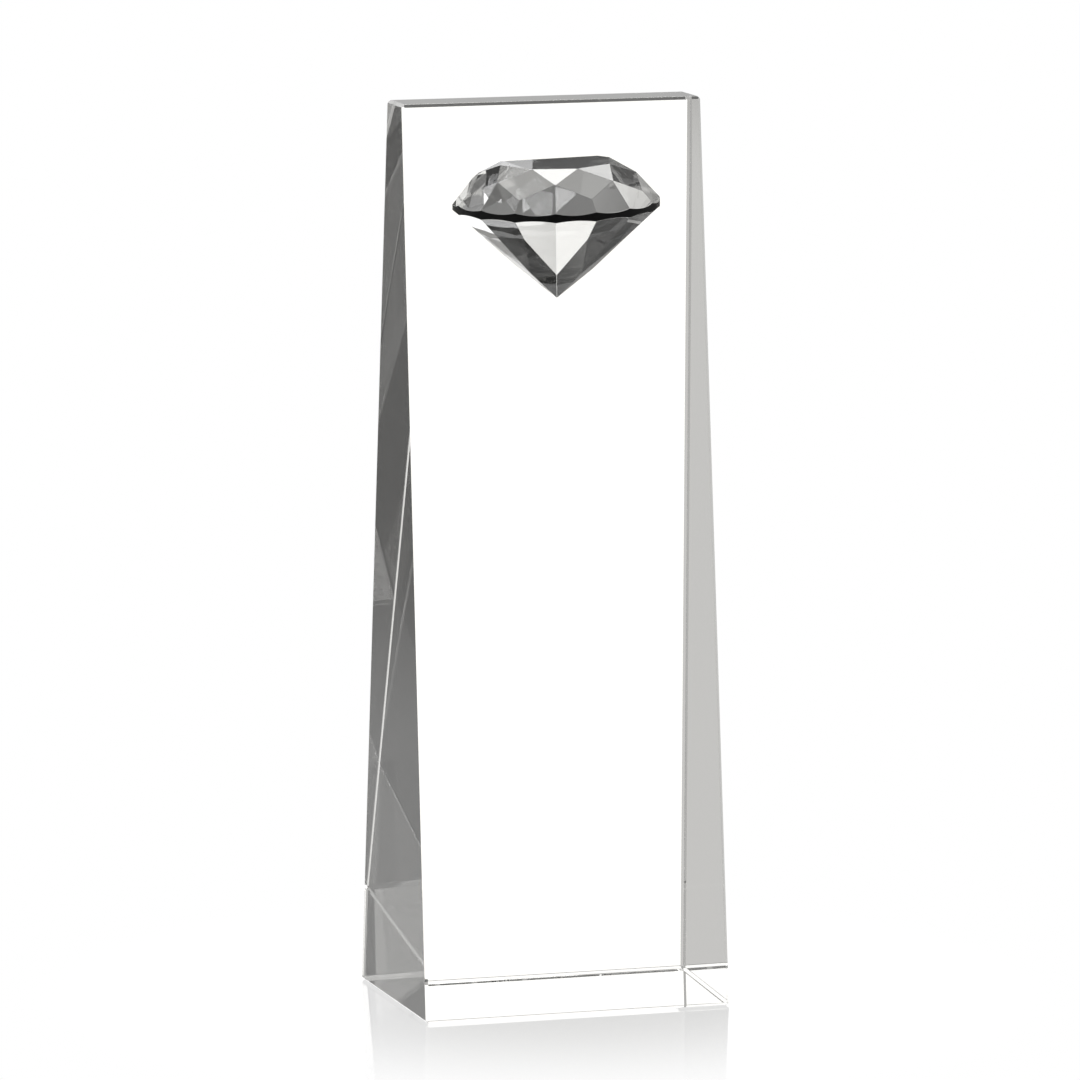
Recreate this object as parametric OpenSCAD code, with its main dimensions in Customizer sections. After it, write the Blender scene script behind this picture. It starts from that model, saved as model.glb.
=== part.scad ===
// Crystal award: a clear leaning-faced tower with half a brilliant-cut stone bonded to its front.
// Millimetres, +Z up, front towards -Y. The origin is the centre of the face it stands on.

/* [Tower] */
// Overall height of the tower
tower_h = 254; // [200:1:320]
// Width across the face it stands on
base_w = 88.9; // [80:0.1:110]
// Depth, front to back, of the face it stands on
base_d = 66.4; // [50:0.1:90]
// Width across the top face
top_w = 86.9; // [76:0.1:110]
// Depth, front to back, of the top face
top_d = 15.4; // [10:0.1:30]
// Leg of the small polished chamfer along every edge
edge_chamfer = 0.8; // [0.3:0.1:2]

/* [Stone] */
// Diameter of the stone at its girdle
stone_dia = 58; // [40:0.1:70]
// Height of the stone's girdle above the surface the tower stands on
stone_z = 227; // [150:0.1:228]
// Offset of the stone to the right of the tower's middle
stone_x = -1.2; // [-5:0.1:5]
// Turn of the facets about the stone's own axis
stone_turn = -17; // [-22.5:0.5:22.5]
// Lean of the stone's top towards the viewer
stone_lean = 2; // [0:0.5:6]
// Sideways tilt of the stone's top
stone_tilt = -1.5; // [-3:0.5:3]
// Width of the table across its flats, as a share of the girdle
table_share = 0.521; // [0.45:0.001:0.6]
// Height of the table above the girdle, as a share of the girdle's radius
crown_share = 0.36; // [0.3:0.01:0.4]
// Thickness of the girdle, as a share of its radius
girdle_share = 0.09; // [0.04:0.01:0.12]
// How close to the axis the lower girdle facets reach, as a share of the girdle's radius
lower_reach = 0.345; // [0.25:0.005:0.4]

/* [Facet slopes] */
// Slope of the small facets along the table's edges
star_slope = 24.3; // [20:0.1:28]
// Slope of the kite-shaped crown facets
kite_slope = 36.6; // [34:0.1:39]
// Slope of the crown facets that meet the girdle
upper_slope = 48.3; // [45:0.1:50]
// Slope of the pavilion facets that meet the girdle
lower_slope = 43; // [42:0.1:45]
// Slope of the long pavilion facets that meet at the point
main_slope = 40.8; // [40:0.1:41.5]

/* [Bond] */
// Thickness of the clear adhesive film behind the stone
film_t = 0.15; // [0.1:0.05:0.5]
// Clearance between the stone's point and the film
point_gap = 0.2; // [0.1:0.1:1]

/* [Hidden] */

crystal = [0.86, 0.90, 0.92, 0.55];
adhesive = [0.95, 0.95, 0.90, 0.6];
stone_tint = [0.92, 0.94, 0.97, 0.75];

// How far each face leans in on its way up
front_run = (base_d - top_d) / 2;
side_run = (base_w - top_w) / 2;
front_lean = atan(front_run / tower_h);
edge_length = norm([side_run, front_run, tower_h]);

girdle_r = stone_dia / 2;
table_h = crown_share * girdle_r;
table_flat_r = table_share * girdle_r;
table_corner_r = table_flat_r / cos(22.5);
girdle_t = girdle_share * girdle_r;
// The girdle's facets meet its edge at the cusps, a little outside their own middles
cusp_r = girdle_r * cos(11.25);
// Depth of the stone's point, where the main facets meet under the lower girdle facets
reach_r = lower_reach * girdle_r;
point_depth = girdle_t + tan(lower_slope) * (cusp_r - reach_r * cos(11.25))
    + tan(main_slope) * reach_r * cos(22.5);

// How far the stone's middle stands off the front face, so that its point just clears the film
stone_forward = film_t + point_gap
    + point_depth * cos(stone_tilt) * sin(stone_lean + front_lean);

// A block big enough to take away everything beyond a facet
cutter = 4 * stone_dia;
// How far a cutting tool runs past what it cuts
margin = 5;

// Outline of a face seen square on, tapering from base_size to top_size, with its corners cut off
module tapered_outline(base_size, top_size) {
    run = (base_size - top_size) / 2;
    lean_per_mm = run / tower_h;
    c = edge_chamfer;
    right_side = [
        [base_size / 2 - c, 0],
        [base_size / 2 - c * lean_per_mm, c],
        [top_size / 2 + c * lean_per_mm, tower_h - c],
        [top_size / 2 - c, tower_h]
    ];
    left_side = [for (i = [3:-1:0]) [-right_side[i][0], right_side[i][1]]];
    polygon(concat(right_side, left_side));
}

// The tower before its four long edges are chamfered
module tapered_body() {
    intersection() {
        rotate([90, 0, 0])
            linear_extrude(height = base_d + margin, center = true)
                tapered_outline(base_w, top_w);
        rotate([90, 0, 90])
            linear_extrude(height = base_w + margin, center = true)
                tapered_outline(base_d, top_d);
    }
}

// A square bar along one long edge, so thick that only its inner side cuts, which leaves the chamfer
module edge_bar(side, face) {
    bar = 4 * edge_chamfer;
    cut_depth = edge_chamfer / sqrt(2);
    translate([side * base_w / 2, face * base_d / 2, 0])
        rotate([asin(face * front_run / edge_length), atan2(-side * side_run, tower_h), 0])
            rotate([0, 0, atan2(face, side)])
                translate([bar / 2 - cut_depth, 0, edge_length / 2])
                    cube([bar, bar, edge_length + 2 * margin], center = true);
}

module tower_block() {
    color(crystal)
        difference() {
            tapered_body();
            for (side = [-1, 1], face = [-1, 1]) edge_bar(side, face);
        }
}

// Everything outside one flat facet, which passes through radius r and height h and falls
// away outwards at the given slope; heading 0 is the stone's front
module beyond_facet(heading, slope, r, h) {
    rotate([0, 0, heading - 90])
        translate([r, 0, h])
            rotate([0, slope, 0])
                translate([-cutter / 2, -cutter / 2, 0])
                    cube(cutter);
}

// Everything outside a ring of facets, the first of them centred on heading start
module beyond_ring(count, start, slope, r, h) {
    for (i = [0:count - 1]) beyond_facet(start + i * 360 / count, slope, r, h);
}

// A round brilliant stone on its own axis, with the top of its girdle at height 0
module brilliant() {
    difference() {
        translate([0, 0, -point_depth])
            cylinder(r = girdle_r, h = point_depth + table_h, $fn = 128);
        beyond_ring(8, 0, star_slope, table_flat_r, table_h);
        beyond_ring(8, 22.5, kite_slope, table_corner_r, table_h);
        beyond_ring(16, 11.25, upper_slope, cusp_r, 0);
        mirror([0, 0, 1]) {
            beyond_ring(16, 11.25, lower_slope, cusp_r, girdle_t);
            beyond_ring(8, 22.5, main_slope, 0, point_depth);
        }
    }
}

// The stone where it sits, before its back is ground flat
module placed_stone() {
    face_y = -base_d / 2 + stone_z * tan(front_lean);
    translate([stone_x, face_y, stone_z])
        translate([0, -stone_forward * cos(front_lean), stone_forward * sin(front_lean)])
            rotate([stone_lean, 0, 0])
                rotate([0, stone_tilt, 0])
                    rotate([0, 0, stone_turn])
                        brilliant();
}

// Space in front of the tower's front face, from one distance off it to another
module front_space(near, far) {
    translate([0, -base_d / 2, 0])
        rotate([-front_lean, 0, 0])
            translate([-base_w, -far, 0])
                cube([2 * base_w, far - near, 1.5 * tower_h]);
}

module bond_film() {
    color(adhesive)
        intersection() {
            placed_stone();
            front_space(0, film_t);
        }
}

module half_stone() {
    color(stone_tint)
        intersection() {
            placed_stone();
            front_space(film_t, stone_dia);
        }
}

tower_block();
bond_film();
half_stone();
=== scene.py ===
"""Looks of the crystal award: polished facets, clear optical glass, a pale floor and soft studio light."""
import math

import bmesh
import bpy
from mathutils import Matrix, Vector


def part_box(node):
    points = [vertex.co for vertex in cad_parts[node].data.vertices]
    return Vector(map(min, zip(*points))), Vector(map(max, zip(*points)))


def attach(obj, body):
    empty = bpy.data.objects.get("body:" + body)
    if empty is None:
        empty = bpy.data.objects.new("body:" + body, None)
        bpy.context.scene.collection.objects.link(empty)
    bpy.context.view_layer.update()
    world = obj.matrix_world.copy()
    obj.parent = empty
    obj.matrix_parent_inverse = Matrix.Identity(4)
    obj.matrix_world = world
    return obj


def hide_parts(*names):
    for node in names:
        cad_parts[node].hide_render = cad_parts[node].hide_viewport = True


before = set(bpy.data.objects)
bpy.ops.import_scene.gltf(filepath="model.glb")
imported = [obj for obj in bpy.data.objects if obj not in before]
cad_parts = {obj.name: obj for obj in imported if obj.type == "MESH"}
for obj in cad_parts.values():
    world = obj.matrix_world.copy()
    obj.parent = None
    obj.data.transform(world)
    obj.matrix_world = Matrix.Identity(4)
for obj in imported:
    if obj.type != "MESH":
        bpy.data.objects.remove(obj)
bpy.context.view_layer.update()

# Height of the tower, which the camera's place is measured in
TOWER_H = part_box("tower_block")[1].z

# Camera, in degrees and in tower heights
CAMERA_TURN = 17.1
CAMERA_RISE = 8.5
CAMERA_FAR = 9.237
LOOK_AT = Vector((-0.0048, 0, 0.5097)) * TOWER_H
LENS_MM = 278.4
SENSOR_MM = 36
CLIP_END = 100

# Optical crystal
CRYSTAL_IOR = 1.517
ADHESIVE_IOR = 1.49
# Cloudy patches and polishing streaks, in repeats to the metre, and how strongly the patches show
CLOUD_SCALE = 38
STREAK_SCALE = (900, 900, 60)
POLISH_BUMP = 0.02
# Where the two patterns together begin to show as haze, and where the haze is full
HAZE_RANGE = (0.15, 0.4)

# The girdle's ground surface, which reflects little, with painted shade: a near-black colour in place of the
# dark it shows through the glass
GROUND_IOR = 1.2
GRAIN_SCALE = 2600
GRAIN_RANGE = (0.3, 0.7)
GRAIN_BUMP = 0.2
GRAIN_DEPTH = 0.00005
# Painted shade: the girdle's near-black colour, from one end of the grain to the other
GIRDLE_PAINTED_SHADES = (0.001, 0.008)
GIRDLE_ROUGHNESS = (0.3, 0.5)
# A face of the stone that rises less than this is upright, and one that looks further back is its flat back
UPRIGHT = 0.2
FACES_BACK = 0.9

# Half the floor's width, and how far it lies under the foot, so that the two don't share a plane
FLOOR_HALF = 12
FLOOR_DROP = 0.00005
# Share of the floor's light that is a reflection, how blurred it is, and where it fades out
FLOOR_SHEEN = 0.45
FLOOR_BLUR = 0.06
SHEEN_REACH = (0.035, 0.15)

# Brightness of the room, its cards and its flags
SOFTBOX = 3.0
WHITE = 1.2
PALE = 0.6
GREY = 0.45
DARK = 0.12
BLACK = 0.02
# The colour of all the light, which only its brightness varies
NEUTRAL = (1, 1, 1, 1)
# Headings run from minus this to this, in degrees
HALF_TURN = 180
# Light passes through many facets before it leaves the stone
BOUNCES = 32

# Rounding that polishing leaves on the crisp edges, in metres
TOWER_ROUNDING = 0.00012
STONE_ROUNDING = 0.00006
# The film is drawn in this far, so that no two glass faces lie in one plane
AIR_GAP = 0.00002
# Corners closer than this are one corner
MERGE_DISTANCE = 1e-6
# Faces that meet at more than this are separate polished facets
FACET_ANGLE = math.radians(5)
FLAT_ANGLE = math.radians(0.3)


def heading(degrees, rise=0):
    """Unit vector: 0 degrees points to the back, 90 to the right, and rise is above the floor."""
    turn, up = math.radians(degrees), math.radians(rise)
    return Vector((math.sin(turn) * math.cos(up), math.cos(turn) * math.cos(up), math.sin(up)))


# ---------------------------------------------------------------- nodes

def new_tree(owner):
    owner.use_nodes = True
    owner.node_tree.nodes.clear()
    return owner.node_tree


def node(tree, kind, links=None, **settings):
    """A new node. links maps its inputs, by name or number, to values or to output sockets."""
    made = tree.nodes.new(kind)
    for name, value in settings.items():
        setattr(made, name, value)
    for key, value in (links or {}).items():
        if isinstance(value, bpy.types.NodeSocket):
            tree.links.new(value, made.inputs[key])
        else:
            made.inputs[key].default_value = value
    return made


def maths(tree, operation, *values):
    return node(tree, "ShaderNodeMath", dict(enumerate(values)), operation=operation).outputs[0]


def remap(tree, value, before, after, soft=False):
    """The value moved from one range to another, in a straight line or softly at both ends."""
    inputs = {"Value": value, "From Min": before[0], "From Max": before[1]}
    inputs.update({"To Min": after[0], "To Max": after[1]})
    kind = "SMOOTHSTEP" if soft else "LINEAR"
    return node(tree, "ShaderNodeMapRange", inputs, interpolation_type=kind).outputs["Result"]


def noise(tree, place, scale, detail):
    inputs = {"Vector": place, "Scale": scale, "Detail": detail}
    return node(tree, "ShaderNodeTexNoise", inputs).outputs["Fac"]


def finished(tree, kind, shader):
    """The tree's output, of a material or of the world."""
    node(tree, kind, {"Surface": shader.outputs[0]})


# ---------------------------------------------------------------- materials

def crystal_material(name, tint, ior, haze, grain):
    """Clear polished glass whose roughness and surface carry the faint, uneven traces of polishing."""
    material = bpy.data.materials.new(name)
    tree = new_tree(material)
    place = node(tree, "ShaderNodeTexCoord").outputs["Object"]
    # Broad cloudy patches, as a wiped surface has, and fine streaks left by the polishing wheel
    clouds = noise(tree, place, CLOUD_SCALE, 3)
    stretched = node(tree, "ShaderNodeMapping", {"Vector": place, "Scale": STREAK_SCALE}).outputs[0]
    streaks = noise(tree, stretched, 1, 2)
    uneven = maths(tree, "MULTIPLY", clouds, streaks)
    roughness = remap(tree, uneven, HAZE_RANGE, (0, haze))
    bump = node(tree, "ShaderNodeBump", {"Strength": POLISH_BUMP, "Distance": grain, "Height": clouds})
    glass = node(tree, "ShaderNodeBsdfPrincipled", {
        "Base Color": (*tint, 1), "Roughness": roughness, "IOR": ior,
        "Transmission Weight": 1, "Normal": bump.outputs["Normal"]})
    finished(tree, "ShaderNodeOutputMaterial", glass)
    return material


def ground_painted_dark_material(name):
    """The stone's girdle: ground, not polished, with a fine matt grain, and painted shade: a near-black
    colour that keeps it dark.
    """
    material = bpy.data.materials.new(name)
    tree = new_tree(material)
    place = node(tree, "ShaderNodeTexCoord").outputs["Object"]
    grain = noise(tree, place, GRAIN_SCALE, 2)
    # Painted shade: a near-black colour, varied with the grain, keeps the girdle dark
    painted_shade = remap(tree, grain, GRAIN_RANGE, GIRDLE_PAINTED_SHADES)
    colour = node(tree, "ShaderNodeCombineColor", {0: painted_shade, 1: painted_shade, 2: painted_shade}).outputs[0]
    roughness = remap(tree, grain, GRAIN_RANGE, GIRDLE_ROUGHNESS)
    bump = node(tree, "ShaderNodeBump", {"Strength": GRAIN_BUMP, "Distance": GRAIN_DEPTH, "Height": grain})
    ground = node(tree, "ShaderNodeBsdfPrincipled", {
        "Base Color": colour, "Roughness": roughness, "IOR": GROUND_IOR,
        "Normal": bump.outputs["Normal"]})
    finished(tree, "ShaderNodeOutputMaterial", ground)
    return material


# ---------------------------------------------------------------- pieces

def on_girdle(face):
    """Whether a face of the stone stands upright and looks outwards, as only its girdle does."""
    return abs(face.normal.z) < UPRIGHT and face.normal.y < FACES_BACK


def merge_facets(mesh, has_girdle):
    """Make each flat facet one face, keep the edges between facets sharp, and mark the girdle."""
    edit = bmesh.new()
    edit.from_mesh(mesh)
    bmesh.ops.remove_doubles(edit, verts=edit.verts, dist=MERGE_DISTANCE)
    bmesh.ops.dissolve_limit(edit, angle_limit=FLAT_ANGLE, verts=edit.verts, edges=edit.edges)
    for face in edit.faces:
        face.smooth = True
        face.material_index = 1 if has_girdle and on_girdle(face) else 0
    for edge in edit.edges:
        edge.smooth = edge.calc_face_angle(0) < FACET_ANGLE
    edit.to_mesh(mesh)
    edit.free()


def round_edges(piece, width):
    bevel = piece.modifiers.new("edges", "BEVEL")
    bevel.width = width
    bevel.segments = 2
    bevel.limit_method = "ANGLE"
    bevel.angle_limit = FACET_ANGLE
    bevel.harden_normals = True


def draw_in(piece, distance):
    shrink = piece.modifiers.new("air gap", "DISPLACE")
    shrink.strength = -distance
    shrink.mid_level = 0


def polished_copy(name, cad_node, material, rounding=0, inset=0, girdle=None):
    """The CAD solid as whole flat facets, with slightly rounded edges or drawn in by inset."""
    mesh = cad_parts[cad_node].data.copy()
    mesh.name = name
    mesh.materials.clear()
    mesh.materials.append(material)
    if girdle:
        mesh.materials.append(girdle)
    merge_facets(mesh, girdle is not None)
    piece = bpy.data.objects.new(name, mesh)
    bpy.context.scene.collection.objects.link(piece)
    if rounding:
        round_edges(piece, rounding)
    if inset:
        draw_in(piece, inset)
    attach(piece, "root")
    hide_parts(cad_node)
    return piece


# ---------------------------------------------------------------- studio

def make_camera():
    data = bpy.data.cameras.new("camera")
    data.lens = LENS_MM
    data.sensor_width = SENSOR_MM
    data.clip_end = CLIP_END
    camera = bpy.data.objects.new("camera", data)
    towards = -heading(CAMERA_TURN, -CAMERA_RISE)
    camera.location = LOOK_AT + towards * CAMERA_FAR * TOWER_H
    camera.rotation_euler = (-towards).to_track_quat("-Z", "Y").to_euler()
    bpy.context.scene.collection.objects.link(camera)
    bpy.context.scene.camera = camera


def floor_material():
    """White, with a soft sheen that fades with distance from the award."""
    material = bpy.data.materials.new("floor")
    tree = new_tree(material)
    glow = node(tree, "ShaderNodeEmission", {"Color": NEUTRAL, "Strength": 1.0})
    sheen = node(tree, "ShaderNodeBsdfGlossy", {"Color": NEUTRAL, "Roughness": FLOOR_BLUR})
    place = node(tree, "ShaderNodeTexCoord").outputs["Object"]
    away = node(tree, "ShaderNodeVectorMath", {0: place}, operation="LENGTH").outputs["Value"]
    share = remap(tree, away, SHEEN_REACH, (FLOOR_SHEEN, 0), soft=True)
    mixed = node(tree, "ShaderNodeMixShader", {0: share, 1: glow.outputs[0], 2: sheen.outputs[0]})
    finished(tree, "ShaderNodeOutputMaterial", mixed)
    return material


def make_floor():
    """A pale floor. The glass sees past it, to the lower half of the studio."""
    mesh = bpy.data.meshes.new("floor")
    corners = [(-1, -1), (1, -1), (1, 1), (-1, 1)]
    mesh.from_pydata([(x * FLOOR_HALF, y * FLOOR_HALF, 0) for x, y in corners], [], [(0, 1, 2, 3)])
    mesh.materials.append(floor_material())
    floor = bpy.data.objects.new("floor", mesh)
    floor.location.z = -FLOOR_DROP
    floor.visible_transmission = False
    floor.visible_glossy = False
    bpy.context.scene.collection.objects.link(floor)


class Studio:
    """Soft light by direction. Headings are in degrees from the back, and rises from the horizon."""

    def __init__(self, level):
        self.world = bpy.data.worlds.new("studio")
        bpy.context.scene.world = self.world
        self.tree = new_tree(self.world)
        place = node(self.tree, "ShaderNodeTexCoord").outputs["Generated"]
        axes = node(self.tree, "ShaderNodeSeparateXYZ", {0: place}).outputs
        to_degrees = math.degrees(1)
        turn = maths(self.tree, "ARCTAN2", axes["X"], axes["Y"])
        self.turn = maths(self.tree, "MULTIPLY", turn, to_degrees)
        rise = maths(self.tree, "ARCSINE", axes["Z"])
        self.rise = maths(self.tree, "MULTIPLY", rise, to_degrees)
        self.level = level

    def near(self, offset, size, soft):
        """1 within half the size of the middle, and falling to 0 over soft degrees outside it."""
        away = maths(self.tree, "ABSOLUTE", offset)
        return remap(self.tree, away, (size / 2, size / 2 + soft), (1, 0), soft=True)

    def card(self, middle, size, level, soft=3):
        """A lit card or a dark flag round a heading and a rise, which covers what is behind it."""
        sideways = maths(self.tree, "SUBTRACT", self.turn, middle[0])
        sideways = maths(self.tree, "WRAP", sideways, HALF_TURN, -HALF_TURN)
        upward = maths(self.tree, "SUBTRACT", self.rise, middle[1])
        across, up = self.near(sideways, size[0], soft), self.near(upward, size[1], soft)
        cover = maths(self.tree, "MULTIPLY", across, up)
        before = maths(self.tree, "MULTIPLY", self.level, maths(self.tree, "SUBTRACT", 1.0, cover))
        added = maths(self.tree, "MULTIPLY", cover, level)
        self.level = maths(self.tree, "ADD", before, added)

    def light(self):
        background = node(self.tree, "ShaderNodeBackground", {"Color": NEUTRAL, "Strength": self.level})
        finished(self.tree, "ShaderNodeOutputWorld", background)


def make_studio():
    """A plain set for clear crystal: a grey room, a lit sweep, an overhead softbox, cards and flags."""
    studio = Studio(GREY)
    # The left face looks under the table, and to the dark side of the room behind the camera
    studio.card((25, -30), (100, 20), DARK, soft=5)
    studio.card((180, -15), (80, 100), DARK, soft=5)
    # Low cards: white for the stone's left end and its star facets, black for its right end
    studio.card((0, -30), (20, 20), WHITE)
    studio.card((50, -60), (20, 20), WHITE)
    studio.card((-5, -60), (15, 20), BLACK)
    # A white card low at the right of the camera, and a black one over it
    studio.card((140, -35), (30, 40), WHITE, soft=5)
    studio.card((140, 0), (30, 20), BLACK, soft=5)
    # The sweep, white through the front face and pale grey through the right-hand side
    studio.card((-30, -20), (40, 15), PALE, soft=1)
    studio.card((35, -15), (70, 10), WHITE)
    # The dark edge of the table, which the left face mirrors, and the lit backdrop above it
    studio.card((10, -2), (120, 12), BLACK, soft=2)
    studio.card((10, 13), (110, 10), WHITE)
    # The lower facets look up at a black flag with a window in it, and the crown at the softbox
    studio.card((25, 27), (80, 16), BLACK)
    studio.card((25, 25), (15, 15), WHITE)
    studio.card((10, 60), (60, 40), SOFTBOX)
    studio.light()


scene = bpy.context.scene
scene.view_settings.view_transform = "Standard"
scene.cycles.max_bounces = BOUNCES
scene.cycles.glossy_bounces = BOUNCES
scene.cycles.transmission_bounces = BOUNCES

make_camera()
make_floor()
make_studio()

tower_glass = crystal_material("tower_crystal", (0.99, 0.982, 0.955), CRYSTAL_IOR, haze=0.004, grain=0.0001)
stone_glass = crystal_material("stone_crystal", (0.985, 0.988, 0.99), CRYSTAL_IOR, haze=0.003, grain=0.00005)
film_glass = crystal_material("cured_adhesive", (0.98, 0.98, 0.975), ADHESIVE_IOR, haze=0.02, grain=0.0001)
# The girdle's material, ground, with painted shade in its near-black colour
ground_painted_dark_edge = ground_painted_dark_material("ground_girdle_painted_dark")

tower = polished_copy("tower", "tower_block", tower_glass, rounding=TOWER_ROUNDING)
stone = polished_copy("stone", "half_stone", stone_glass, rounding=STONE_ROUNDING, girdle=ground_painted_dark_edge)
film = polished_copy("adhesive", "bond_film", film_glass, inset=AIR_GAP)
